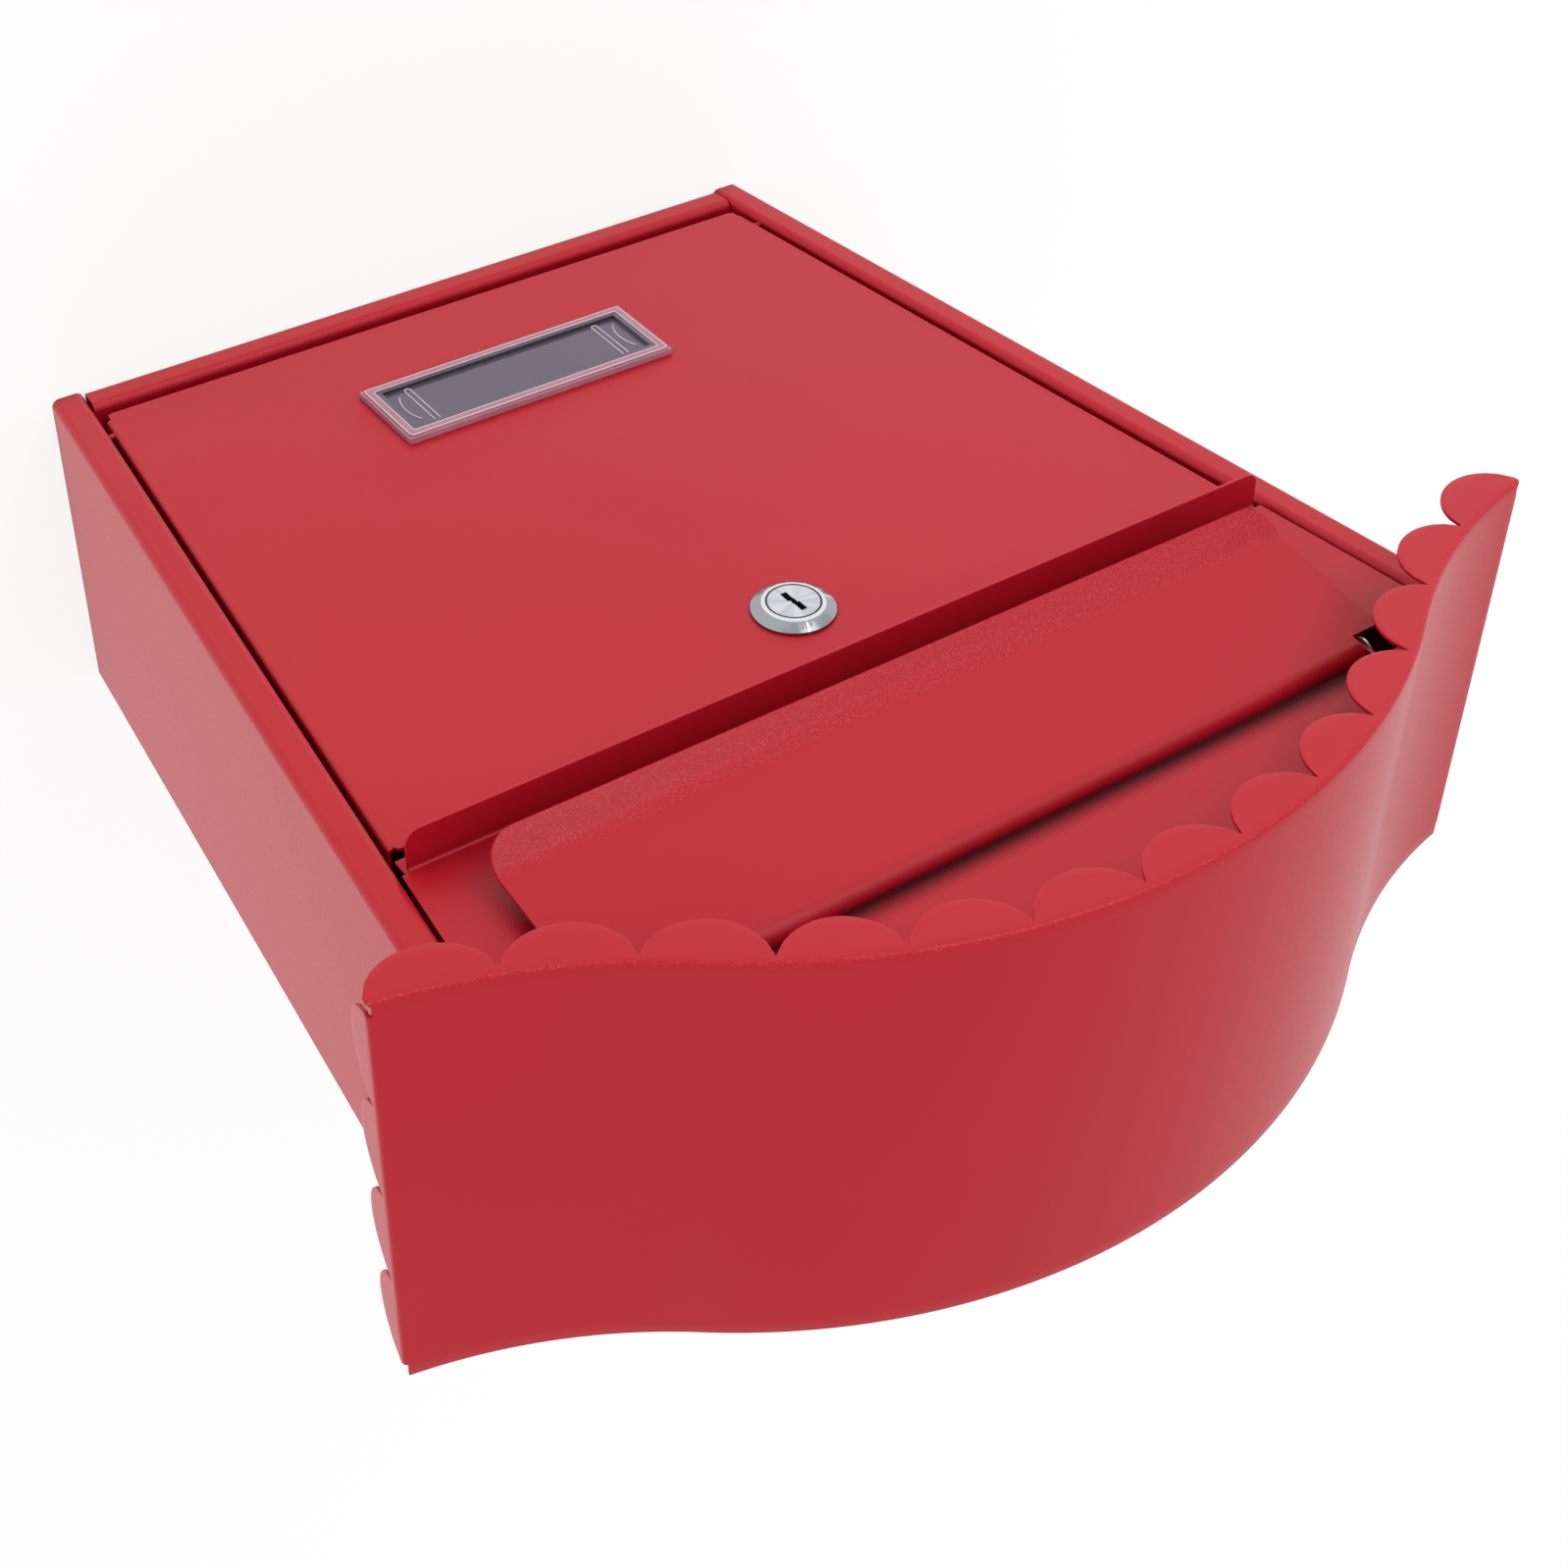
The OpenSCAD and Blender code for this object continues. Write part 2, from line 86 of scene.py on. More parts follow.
def noise(tree, coordinates, scale, detail=2.0, roughness=0.5):
    """Noise from 0 to 1. The scale is in lumps per metre."""
    inputs = {"Vector": coordinates, "Scale": scale, "Detail": detail, "Roughness": roughness}
    return add(tree, "ShaderNodeTexNoise", inputs).outputs[0]


def spread(tree, value, low, high):
    """Turns a value from 0 to 1 into one from low to high."""
    return add(tree, "ShaderNodeMapRange", {"Value": value, "To Min": low, "To Max": high}).outputs[0]


def ramp(tree, value, start, end, top=1.0, curve="LINEAR"):
    """Rises from 0 at the start to the top at the end, and stays level outside."""
    inputs = {"Value": value, "From Min": start, "From Max": end, "To Max": top}
    return add(tree, "ShaderNodeMapRange", inputs, interpolation_type=curve).outputs[0]


def mixed(tree, factor, first, second):
    """A colour from the first, at factor 0, to the second, at factor 1."""
    inputs = {"Factor": factor, "A": first, "B": second}
    return add(tree, "ShaderNodeMix", inputs, data_type="RGBA").outputs["Result"]


def within(tree, value, middle, half):
    """1 where the value is within half a width of the middle, and 0 elsewhere."""
    return calc(tree, "COMPARE", value, middle, half)


def xyz(tree, vector):
    """The three parts of a vector."""
    return add(tree, "ShaderNodeSeparateXYZ", {"Vector": vector}).outputs


def new_finish(name, **constants):
    """A material with a Principled shader, whose constants are set on the shader's own sockets."""
    material = bpy.data.materials.new(name)
    material.use_nodes = True
    tree = material.node_tree
    shader = tree.nodes["Principled BSDF"]
    for key, value in constants.items():
        shader.inputs[key.replace("_", " ")].default_value = value
    place = add(tree, "ShaderNodeTexCoord").outputs["Object"]
    return material, tree, shader, place


print("helpers ready")

# %% [markdown]
# ## Powder coat
# Powder coat is melted plastic dust. It covers evenly, so its colour hardly varies, but its surface is
# never flat: it has the fine skin of an orange, with lumps about a millimetre wide and a few hundredths
# of a millimetre high. Bump from noise at that scale breaks up the reflections the way the real skin does.
# The noise reads Object coordinates, so it keeps its size in millimetres on every piece.
#
# Light that falls into a fold bounces between red and red and comes out deeper. An Ambient Occlusion node
# measures how closed a spot is, and the base colour deepens with it: painted shade. Over the flap's roll a
# gap leads into the dark box, and there the upper panel's base colour takes a painted shade that fades to
# nearly black, and its gloss drops.

# %% Make the powder coat
RED = (0.545, 0.0078, 0.022, 1)
DEEP_RED = (0.495, 0.0058, 0.017, 1)
PALE_RED = (0.66, 0.06, 0.085, 1)
# base colours of painted shade: in closed folds, and at the gap over the flap's roll
FOLD_SHADE_RED = (0.26, 0.0018, 0.005, 1)
GAP_SHADE_RED = (0.03, 0.0003, 0.0008, 1)
PAINT_GLOSS = 0.32
GAP_GLOSS = 0.03
# noise scales per metre, for the drifts of colour, the skin and the sand-like grain
CLOUDS = 9
LUMPS = 900
GRAINS = 1800
# ranges over which the grain turns to pale specks and a fold's painted shade lifts as it opens to the light
SPECKS = (0.52, 0.70)
OPENING = (0.15, 0.95)
# distances from a gap at which the painted shade is still full and is gone, and the length of its fade
# sideways
GAP_DARK = 2.5 * mm
GAP_FADE = 11 * mm
GAP_SIDE = 6 * mm


def painted_gap_light(tree, place, gap_z, gap_half):
    """0 at a long gap that leads into the box, and 1 away from it: the mask of a painted shade."""
    part = xyz(tree, place)
    away = calc(tree, "ABSOLUTE", calc(tree, "SUBTRACT", part[2], gap_z))
    lit = ramp(tree, away, GAP_DARK, GAP_FADE, curve="SMOOTHSTEP")
    beside = ramp(tree, calc(tree, "ABSOLUTE", part[0]), gap_half - GAP_SIDE, gap_half)
    return calc(tree, "MAXIMUM", lit, beside)


def powder_coat(name, grain, reach, gap=None):
    """Red powder coat. The grain, from 0 to 1, is how strongly the fine sand-like texture shows.

    The reach is how far away another surface still deepens the colour with painted shade. A gap, given as
    its height and its half width, leads into the box and sends no light back, and beside it the paint has a
    painted shade, with less gloss, that fades out away from the gap.
    """
    material, tree, shader, place = new_finish(name, Specular_IOR_Level=PAINT_GLOSS)
    skin = noise(tree, place, LUMPS, detail=2)
    dust = noise(tree, place, GRAINS, detail=1)
    tint = mixed(tree, noise(tree, place, CLOUDS, detail=3), DEEP_RED, RED)
    tint = mixed(tree, ramp(tree, dust, *SPECKS, grain), tint, PALE_RED)
    # painted shade: the base colour deepens where ambient occlusion finds a closed fold or nook
    nook = add(tree, "ShaderNodeAmbientOcclusion", {"Distance": reach}, samples=8).outputs["AO"]
    tint = mixed(tree, ramp(tree, nook, *OPENING), FOLD_SHADE_RED, tint)
    # painted shade by the gap: darker base colour and less gloss, fading out away from it
    if gap:
        lit = painted_gap_light(tree, place, *gap)
        tint = mixed(tree, lit, GAP_SHADE_RED, tint)
        tree.links.new(spread(tree, lit, GAP_GLOSS, PAINT_GLOSS), shader.inputs["Specular IOR Level"])
    tree.links.new(tint, shader.inputs["Base Color"])
    tree.links.new(spread(tree, skin, 0.34, 0.44), shader.inputs["Roughness"])
    height = calc(tree, "ADD", skin, calc(tree, "MULTIPLY", dust, 0.3 + 6 * grain))
    bump = add(tree, "ShaderNodeBump", {"Height": height, "Strength": 0.3, "Distance": 0.03 * mm})
    tree.links.new(bump.outputs[0], shader.inputs["Normal"])
    return material


flap_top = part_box("flap")[1]
# The coats differ in how far the painted shade of folds reaches; the gap coat adds a painted shade over the
# flap's roll, and the grainy coat shows more grain.
paint = powder_coat("red_powder_coat", 0.03, 34 * mm)
short_shade_paint = powder_coat("short_shade_powder_coat", 0.03, 5 * mm)
gap_shaded_paint = powder_coat("gap_shaded_powder_coat", 0.03, 34 * mm, (flap_top.z, flap_top.x))
grainy_paint = powder_coat("grainy_powder_coat", 0.6, 10 * mm)
print("finishes made:", paint.name, short_shade_paint.name, gap_shaded_paint.name, grainy_paint.name)

# %% [markdown]
# ## Metals and clear plastic
# The lock's face is turned on a lathe, and the tool leaves fine rings round the middle. Rings are a wave
# of the distance from the lock's axis, so the Mapping node first moves that axis to zero. Bands of that
# distance also paint a highlight on the raised rim and a shade line in the gap between the plug and its
# housing, and paler radial streaks are painted highlights for the rays that turned metal throws. The
# rod, the pins and the cam are zinc plated: duller, with a faint cloudy pattern.

# %% Make the metals
lock_low, lock_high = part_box("lock_housing")
lock_z = (lock_low.z + lock_high.z) / 2
plug_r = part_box("lock_plug")[1].x
LINE = 0.3 * mm
PLUG_GAP_SHADE_GREY = (0.06, 0.06, 0.07, 1)
RIM_BAND = 0.55 * mm
RIM_HIGHLIGHT_GREY = (0.66, 0.68, 0.70, 1)
RING_PITCH = 0.22 * mm
SCRATCHES = 700
RAY_EDGE = 0.12


def turned_metal(name, dark, bright, roughness, depth, rays, glint):
    """Metal with turning rings round the lock's axis, which runs along Y, and painted highlights for the
    rays they throw.

    The glint, from 0 to 1, is how far the noise must rise for a painted ray to start.
    """
    material, tree, shader, place = new_finish(name, Metallic=1.0)
    centred = add(tree, "ShaderNodeMapping", {"Vector": place, "Location": (0, 0, -lock_z)}).outputs[0]
    centred = add(tree, "ShaderNodeVectorMath", {0: centred, 1: (1, 0, 1)}, operation="MULTIPLY").outputs[0]
    part = xyz(tree, centred)
    squares = calc(tree, "ADD", calc(tree, "POWER", part[0], 2), calc(tree, "POWER", part[2], 2))
    radius = calc(tree, "SQRT", squares)
    rings = calc(tree, "SINE", calc(tree, "MULTIPLY", radius, 2 * math.pi / RING_PITCH))
    direction = add(tree, "ShaderNodeVectorMath", {"Vector": centred}, operation="NORMALIZE").outputs[0]
    # painted highlights: paler radial streaks where the turning rings would throw rays of light
    painted_ray = ramp(tree, noise(tree, direction, rays, detail=2, roughness=0.7), glint, glint + RAY_EDGE)
    tint = mixed(tree, painted_ray, dark, bright)
    # painted highlight on the raised rim
    tint = mixed(tree, within(tree, radius, plug_r + LINE + RIM_BAND, RIM_BAND), tint, RIM_HIGHLIGHT_GREY)
    # painted shade in the gap between the plug and its housing
    tint = mixed(tree, within(tree, radius, plug_r, LINE), tint, PLUG_GAP_SHADE_GREY)
    tree.links.new(tint, shader.inputs["Base Color"])
    scratch = noise(tree, place, SCRATCHES, detail=3)
    height = calc(tree, "ADD", rings, scratch)
    bump = add(tree, "ShaderNodeBump", {"Height": height, "Strength": 1.0, "Distance": depth})
    tree.links.new(bump.outputs[0], shader.inputs["Normal"])
    tree.links.new(spread(tree, scratch, roughness, roughness + 0.08), shader.inputs["Roughness"])
    return material


def zinc_plate(name, colour):
    """Dull plated steel with faint clouds."""
    material, tree, shader, place = new_finish(name, Metallic=1.0)
    cloud = noise(tree, place, 260, detail=4, roughness=0.6)
    dark = tuple(0.8 * c for c in colour[:3]) + (1,)
    tree.links.new(mixed(tree, cloud, dark, colour), shader.inputs["Base Color"])
    tree.links.new(spread(tree, cloud, 0.28, 0.42), shader.inputs["Roughness"])
    return material


chrome = turned_metal("turned_chrome", (0.31, 0.33, 0.35, 1), (0.80, 0.82, 0.84, 1),
                      roughness=0.14, depth=0.002 * mm, rays=2.6, glint=0.60)
nickel = turned_metal("plug_nickel", (0.48, 0.51, 0.54, 1), (0.60, 0.62, 0.65, 1),
                      roughness=0.22, depth=0.002 * mm, rays=1.4, glint=0.45)
zinc = zinc_plate("zinc_plate", (0.68, 0.69, 0.70, 1))
steel = zinc_plate("bright_steel", (0.74, 0.74, 0.75, 1))
print("metals made:", chrome.name, nickel.name, zinc.name, steel.name)

# %% Make the plastic and the painted shade of the keyway
holder_low, holder_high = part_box("name_holder")
holder_mid = (holder_low + holder_high) / 2
WINDOW_INSET = 3.2 * mm
# half width and shift of the painted shadow along the window's lower edge
SHADE_HALF = 1.3 * mm
SHADE_SHIFT = 0.6 * mm
SMOKE = (0.110, 0.087, 0.135, 1)
SMOKE_PAINTED_SHADOW = (0.05, 0.045, 0.06, 1)


def moulded(name, pale, deep):
    """Glossy moulded plastic. Its colour drifts between two tones, and is handed back as the last value."""
    material, tree, shader, place = new_finish(name)
    haze = noise(tree, place, 60, detail=3)
    tint = mixed(tree, haze, pale, deep)
    tree.links.new(tint, shader.inputs["Base Color"])
    tree.links.new(spread(tree, haze, 0.06, 0.14), shader.inputs["Roughness"])
    ripple = noise(tree, place, 120, detail=1)
    bump = add(tree, "ShaderNodeBump", {"Height": ripple, "Strength": 0.3, "Distance": 0.05 * mm})
    tree.links.new(bump.outputs[0], shader.inputs["Normal"])
    return material, tree, shader, place, tint


def holder_plastic():
    """Clear plastic that shows red paint through a pale veil, with a smoky window in its middle and a
    painted shadow along the window's lower edge.
    """
    pale_veil = (0.40, 0.14, 0.19, 1)
    deep_veil = (0.52, 0.26, 0.33, 1)
    material, tree, shader, place, veil = moulded("name_holder_plastic", pale_veil, deep_veil)
    part = xyz(tree, place)
    half_x = holder_high.x - WINDOW_INSET
    half_z = holder_high.z - holder_mid.z - WINDOW_INSET
    across = within(tree, part[0], 0.0, half_x)
    upright = within(tree, part[2], holder_mid.z, half_z)
    inside = calc(tree, "MULTIPLY", across, upright)
    # painted shadow: a dark band along the window's lower edge
    painted_rim_shadow = within(tree, part[2], holder_mid.z - half_z + SHADE_SHIFT, SHADE_HALF)
    smoke = mixed(tree, painted_rim_shadow, SMOKE, SMOKE_PAINTED_SHADOW)
    tree.links.new(mixed(tree, inside, veil, smoke), shader.inputs["Base Color"])
    return material


holder_finish = holder_plastic()
# a pale finish for the rods: painted highlights on the rim, and partly on the ribs
clear_edge_highlight = moulded("clear_edge_highlight", (0.80, 0.72, 0.80, 1), (0.60, 0.50, 0.60, 1))[0]
dark = moulded("keyway_shadow", (0.015, 0.015, 0.017, 1), (0.035, 0.035, 0.04, 1))[0]
print("finishes made:", holder_finish.name, clear_edge_highlight.name, dark.name)

# %% [markdown]
# ## Folded pieces with soft edges
# The frame's pieces have true shapes but razor-sharp edges. Paint gathers on a cut edge and rounds it to
# about a quarter of a millimetre, and that tiny round is what catches the light as a thin bright line.
# A copy of each mesh is welded, its flat faces are merged, and a Bevel modifier rounds the sharp edges.
# A Weighted Normal modifier then keeps the big faces flat in the light.

# %% Soften the edges of the painted pieces
EDGE = 0.25 * mm
SHEET = 1 * mm


def as_plain_mesh(piece):
    """Applies all modifiers by replacing the mesh with the evaluated one."""
    graph = bpy.context.evaluated_depsgraph_get()
    mesh = bpy.data.meshes.new_from_object(piece.evaluated_get(graph))
    mesh.name = piece.name
    piece.modifiers.clear()
    piece.data = mesh
    return piece


def shade(piece, degrees=30):
    """Smooth shading, apart from edges sharper than the angle."""
    piece.data.shade_smooth()
    piece.data.set_sharp_from_angle(angle=math.radians(degrees))


def round_edges(piece, width):
    """Adds a modifier that rounds the sharp edges."""
    bevel = piece.modifiers.new("edge", "BEVEL")
    bevel.width = width
    bevel.segments = 2
    bevel.limit_method = "ANGLE"
    bevel.angle_limit = math.radians(40)
    return bevel


def softened(node, material, edge=EDGE):
    """Replaces a node by a welded copy with rounded edges."""
    mesh = frame["nodes"][node].data.copy()
    welded = bmesh.new()
    welded.from_mesh(mesh)
    bmesh.ops.remove_doubles(welded, verts=welded.verts, dist=0.002 * mm)
    bmesh.ops.dissolve_limit(welded, angle_limit=math.radians(0.3), verts=welded.verts, edges=welded.edges)
    welded.to_mesh(mesh)
    welded.free()
    mesh.materials.clear()
    mesh.materials.append(material)
    piece = bpy.data.objects.new(node + "_skin", mesh)
    bpy.context.collection.objects.link(piece)
    bevel = round_edges(piece, edge)
    bevel.miter_outer = "MITER_ARC"
    bevel.use_clamp_overlap = True
    shade(piece)
    flat = piece.modifiers.new("flat", "WEIGHTED_NORMAL")
    flat.weight = 100
    as_plain_mesh(piece)
    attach(piece, bodies[node])
    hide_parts(node)
    return piece


def repaint(piece, material, chosen):
    """Gives the faces for which chosen(face) is true a second material."""
    piece.data.materials.append(material)
    faces = [face for face in piece.data.polygons if chosen(face)]
    for face in faces:
        face.material_index = len(piece.data.materials) - 1
    print(piece.name, "has", len(faces), "faces in", material.name)


# The casing, the bottom and the door take the coat whose painted shade reaches only 5 mm.
folded = {"casing": short_shade_paint, "bottom_panel": short_shade_paint, "front_panel": gap_shaded_paint, "cross_rail": paint,
          "hinge_brackets": paint, "flap": paint, "door": short_shade_paint}
for node, material in folded.items():
    piece = softened(node, material)
    print(piece.name, len(piece.data.polygons), "faces")

# The rain lip stands out of the upper panel into the light, so it takes the coat with less painted shade,
# and none of the gap's painted shade.
RAIN_LIP_Z = 250 * mm
repaint(bpy.data.objects["front_panel_skin"], short_shade_paint, lambda face: face.center.z < RAIN_LIP_Z)

# Below its fold the flap's lip shows the paint's grain.
FLAP_FOLD_Z = 262.2 * mm
repaint(bpy.data.objects["flap_skin"], grainy_paint, lambda face: face.center.z < FLAP_FOLD_Z)

# %% Close the gaps at the bottom rail's ends
RAIL_GAP = 1.5 * mm
RAIL_DEPTH = 10 * mm
RAIL_END = 0.6 * mm
WALL_SLOPE = math.tan(math.radians(6.7))
rail = bpy.data.objects["bottom_panel_skin"]
rail_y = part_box("bottom_panel")[0].y
rail_half = max(vertex.co.x for vertex in rail.data.vertices if vertex.co.y < rail_y + SHEET)
for vertex in rail.data.vertices:
    if abs(vertex.co.x) > rail_half - RAIL_END and vertex.co.y < rail_y + RAIL_DEPTH:
        vertex.co.x += math.copysign(RAIL_GAP + WALL_SLOPE * vertex.co.z, vertex.co.x)
print("rail half length", round(rail_half / mm, 2), "mm, ends moved out by", RAIL_GAP / mm, "mm or more")

# %% [markdown]
# ## The roof
# The roof is one sheet: a rounded crown that runs into two hollow sweeps, with its front and side edges
# folded down and cut to scallops. Such a shape follows a rule, so Geometry Nodes can make it from a few
# sizes. A flat grid is bent: one direction runs along the roof's curve, the other from the tips of the
# scallops over the fold to the wall. Solidify then gives the skin its thickness.

# %% Work out the roof's curve
CROWN_R = 188 * mm
CROWN_HALF = 114 * mm
HOLLOW_R = 160 * mm
FOLD_R = 1.3 * mm
SCALLOPS = 13
SIDE_SCALLOPS = 4
SCALLOP_DEPTH = 14.2 * mm
CUSP_DEPTH = 2.4 * mm
SIDE_MARGIN = 4.2 * mm
STEPS = 16
FOLD_STEPS = 4
FLANGE_STEPS = 5

roof_low, roof_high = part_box("roof")
crown_angle = math.asin(CROWN_HALF / CROWN_R)
crown_z = roof_high.z - CROWN_R
hollow_x = CROWN_HALF + HOLLOW_R * math.sin(crown_angle)
hollow_z = crown_z + (CROWN_R + HOLLOW_R) * math.cos(crown_angle)
eave_angle = math.asin((hollow_x - roof_high.x) / HOLLOW_R)
crown_length = CROWN_R * crown_angle
half_length = crown_length + HOLLOW_R * (crown_angle - eave_angle)
roof_depth = roof_high.y - roof_low.y
print("the roof's curve is", round(2 * half_length / mm, 1), "mm long")


def scallop_radius(width):
    """Radius of the arc that joins two cusps over a scallop."""
    rise = SCALLOP_DEPTH - CUSP_DEPTH
    return (width * width / 4 + rise * rise) / (2 * rise)


# %% Build the node tree for the roof
roof_sizes = {
    "Crown radius": CROWN_R,
    "Crown height": crown_z,
    "Crown length": crown_length,
    "Crown angle": crown_angle,
    "Hollow radius": HOLLOW_R,
    "Hollow centre x": hollow_x,
    "Hollow centre z": hollow_z,
    "Half length": half_length,
    "Front": roof_low.y,
    "Back": roof_high.y,
    "Fold radius": FOLD_R,
    "Scallop depth": SCALLOP_DEPTH,
    "Scallop width": 2 * half_length / SCALLOPS,
    "Scallop radius": scallop_radius(2 * half_length / SCALLOPS),
    "Side margin": SIDE_MARGIN,
    "Side scallop width": (roof_depth - 2 * SIDE_MARGIN) / SIDE_SCALLOPS,
    "Side scallop radius": scallop_radius((roof_depth - 2 * SIDE_MARGIN) / SIDE_SCALLOPS),
}


def new_tree(name, sizes):
    """A geometry tree with a named input for each size and for the finish, and the sockets they give."""
    tree = bpy.data.node_groups.new(name, "GeometryNodeTree")
    for size_name in sizes:
        tree.interface.new_socket(size_name, in_out="INPUT", socket_type="NodeSocketFloat")
    tree.interface.new_socket("Finish", in_out="INPUT", socket_type="NodeSocketMaterial")
    tree.interface.new_socket("Geometry", in_out="OUTPUT", socket_type="NodeSocketGeometry")
    return tree, tree.nodes.new("NodeGroupInput").outputs


def end_tree(tree, geometry, finish):
    """Makes the geometry real, gives it its finish and hands it out."""
    real = add(tree, "GeometryNodeRealizeInstances", {"Geometry": geometry})
    finished = add(tree, "GeometryNodeSetMaterial", {"Geometry": real.outputs[0], "Material": finish})
    add(tree, "NodeGroupOutput", {"Geometry": finished.outputs[0]})
    print(tree.name, "tree:", len(tree.nodes), "nodes")


def pick(tree, condition, when_true, when_false):
    """One of two values."""
    inputs = {"Switch": condition, "True": when_true, "False": when_false}
    return add(tree, "GeometryNodeSwitch", inputs, input_type="FLOAT").outputs[0]


def above(tree, value, limit):
    """1 where the value is more than the limit, and 0 elsewhere."""
    return calc(tree, "GREATER_THAN", value, limit)


def roof_point(tree, along, depth, y):
    """A point of the roof: so far along the curve from the middle, so deep under it, at y."""
    far = calc(tree, "ABSOLUTE", along)
    on_hollow = above(tree, far, size["Crown length"])
    past = calc(tree, "DIVIDE", calc(tree, "SUBTRACT", far, size["Crown length"]), size["Hollow radius"])
    lean = pick(tree, on_hollow, calc(tree, "SUBTRACT", size["Crown angle"], past),
                calc(tree, "DIVIDE", far, size["Crown radius"]))
    radius = pick(tree, on_hollow, calc(tree, "MULTIPLY", size["Hollow radius"], -1), size["Crown radius"])
    reach = calc(tree, "SUBTRACT", radius, depth)
    x = calc(tree, "ADD", pick(tree, on_hollow, size["Hollow centre x"], 0.0),
             calc(tree, "MULTIPLY", reach, calc(tree, "SINE", lean)))
    z = calc(tree, "ADD", pick(tree, on_hollow, size["Hollow centre z"], size["Crown height"]),
             calc(tree, "MULTIPLY", reach, calc(tree, "COSINE", lean)))
    x = calc(tree, "MULTIPLY", x, calc(tree, "SIGN", along))
    return add(tree, "ShaderNodeCombineXYZ", {0: x, 1: y, 2: z}).outputs[0]


def scallop(tree, offset, radius):
    """Depth of the edge, so far from the middle of its scallop."""
    squares = calc(tree, "SUBTRACT", calc(tree, "POWER", radius, 2), calc(tree, "POWER", offset, 2))
    rise = calc(tree, "SUBTRACT", calc(tree, "SQRT", squares), radius)
    return calc(tree, "ADD", size["Scallop depth"], rise)


def unit_grid(tree, columns, rows):
    """A grid, with its column and row numbers as fields."""
    grid = add(tree, "GeometryNodeMeshGrid",
               {"Size X": 1.0, "Size Y": 1.0, "Vertices X": columns + 1, "Vertices Y": rows + 1}).outputs[0]
    place = xyz(tree, tree.nodes.new("GeometryNodeInputPosition").outputs[0])
    column = calc(tree, "ROUND", calc(tree, "MULTIPLY", calc(tree, "ADD", place[0], 0.5), columns))
    row = calc(tree, "ROUND", calc(tree, "MULTIPLY", calc(tree, "ADD", place[1], 0.5), rows))
    return grid, column, row


def fold(tree, row):
    """For a grid's rows from the tips up: the share of the flange below, and the angle round the fold."""
    down = calc(tree, "MAXIMUM", calc(tree, "SUBTRACT", 1.0, calc(tree, "DIVIDE", row, FLANGE_STEPS)), 0.0)
    turn = calc(tree, "DIVIDE", calc(tree, "SUBTRACT", row, FLANGE_STEPS), FOLD_STEPS)
    turn = calc(tree, "MINIMUM", calc(tree, "MAXIMUM", turn, 0.0), 1.0)
    return down, calc(tree, "MULTIPLY", turn, math.pi / 2)


def flange_depth(tree, down, turn, tip):
    """Depth under the roof's outer face, from the tip through the fold to zero."""
    flat = calc(tree, "ADD", calc(tree, "MULTIPLY", down, calc(tree, "SUBTRACT", tip, size["Fold radius"])),
                size["Fold radius"])
    rounded = calc(tree, "SUBTRACT", 1.0, calc(tree, "SINE", turn))
    rounded = calc(tree, "MULTIPLY", size["Fold radius"], rounded)
    return pick(tree, above(tree, down, 0.0), flat, rounded)


def fold_inset(tree, turn):
    """How far the fold's round takes the sheet in from its outer corner."""
    rounded = calc(tree, "SUBTRACT", 1.0, calc(tree, "COSINE", turn))
    return calc(tree, "MULTIPLY", size["Fold radius"], rounded)


roof_tree, size = new_tree("roof_sheet", roof_sizes)
t = roof_tree
# front flange, fold and top
top_rows = SIDE_SCALLOPS * STEPS + 2
grid, column, row = unit_grid(t, SCALLOPS * STEPS, FLANGE_STEPS + FOLD_STEPS + top_rows)
share = calc(t, "SUBTRACT", calc(t, "MULTIPLY", calc(t, "DIVIDE", column, SCALLOPS * STEPS), 2.0), 1.0)
along = calc(t, "MULTIPLY", share, size["Half length"])
down, turn = fold(t, row)
nearest = calc(t, "ROUND", calc(t, "DIVIDE", along, size["Scallop width"]))
offset = calc(t, "SUBTRACT", along, calc(t, "MULTIPLY", nearest, size["Scallop width"]))
depth = flange_depth(t, down, turn, scallop(t, offset, size["Scallop radius"]))
inset = fold_inset(t, turn)
top_row = calc(t, "SUBTRACT", row, FLANGE_STEPS + FOLD_STEPS)
side_step = calc(t, "DIVIDE", size["Side scallop width"], float(STEPS))
y_side = calc(t, "ADD", calc(t, "ADD", size["Front"], size["Side margin"]),
              calc(t, "MULTIPLY", calc(t, "SUBTRACT", top_row, 1.0), side_step))
y_top = pick(t, above(t, top_row, top_rows - 0.5), size["Back"], y_side)
y = pick(t, above(t, top_row, 0.5), y_top, calc(t, "ADD", size["Front"], inset))
along_top = calc(t, "SUBTRACT", along, calc(t, "MULTIPLY", share, inset))
position = roof_point(t, along_top, depth, y)
top_sheet = add(t, "GeometryNodeSetPosition", {"Geometry": grid, "Position": position})
# one side flange and its fold
grid, column, row = unit_grid(t, SIDE_SCALLOPS * STEPS, FLANGE_STEPS + FOLD_STEPS)
down, turn = fold(t, row)
run = calc(t, "MULTIPLY", column, side_step)
middle = calc(t, "ADD", calc(t, "FLOOR", calc(t, "DIVIDE", run, size["Side scallop width"])), 0.5)
offset = calc(t, "SUBTRACT", run, calc(t, "MULTIPLY", middle, size["Side scallop width"]))
depth = flange_depth(t, down, turn, scallop(t, offset, size["Side scallop radius"]))
inset = fold_inset(t, turn)
along = calc(t, "SUBTRACT", size["Half length"], inset)
y = calc(t, "ADD", calc(t, "ADD", size["Front"], size["Side margin"]), run)
side = add(t, "GeometryNodeSetPosition", {"Geometry": grid, "Position": roof_point(t, along, depth, y)})
mirrored = add(t, "GeometryNodeTransform", {"Geometry": side.outputs[0], "Scale": (-1, 1, 1)})
turned = add(t, "GeometryNodeFlipFaces", {"Mesh": mirrored.outputs[0]})
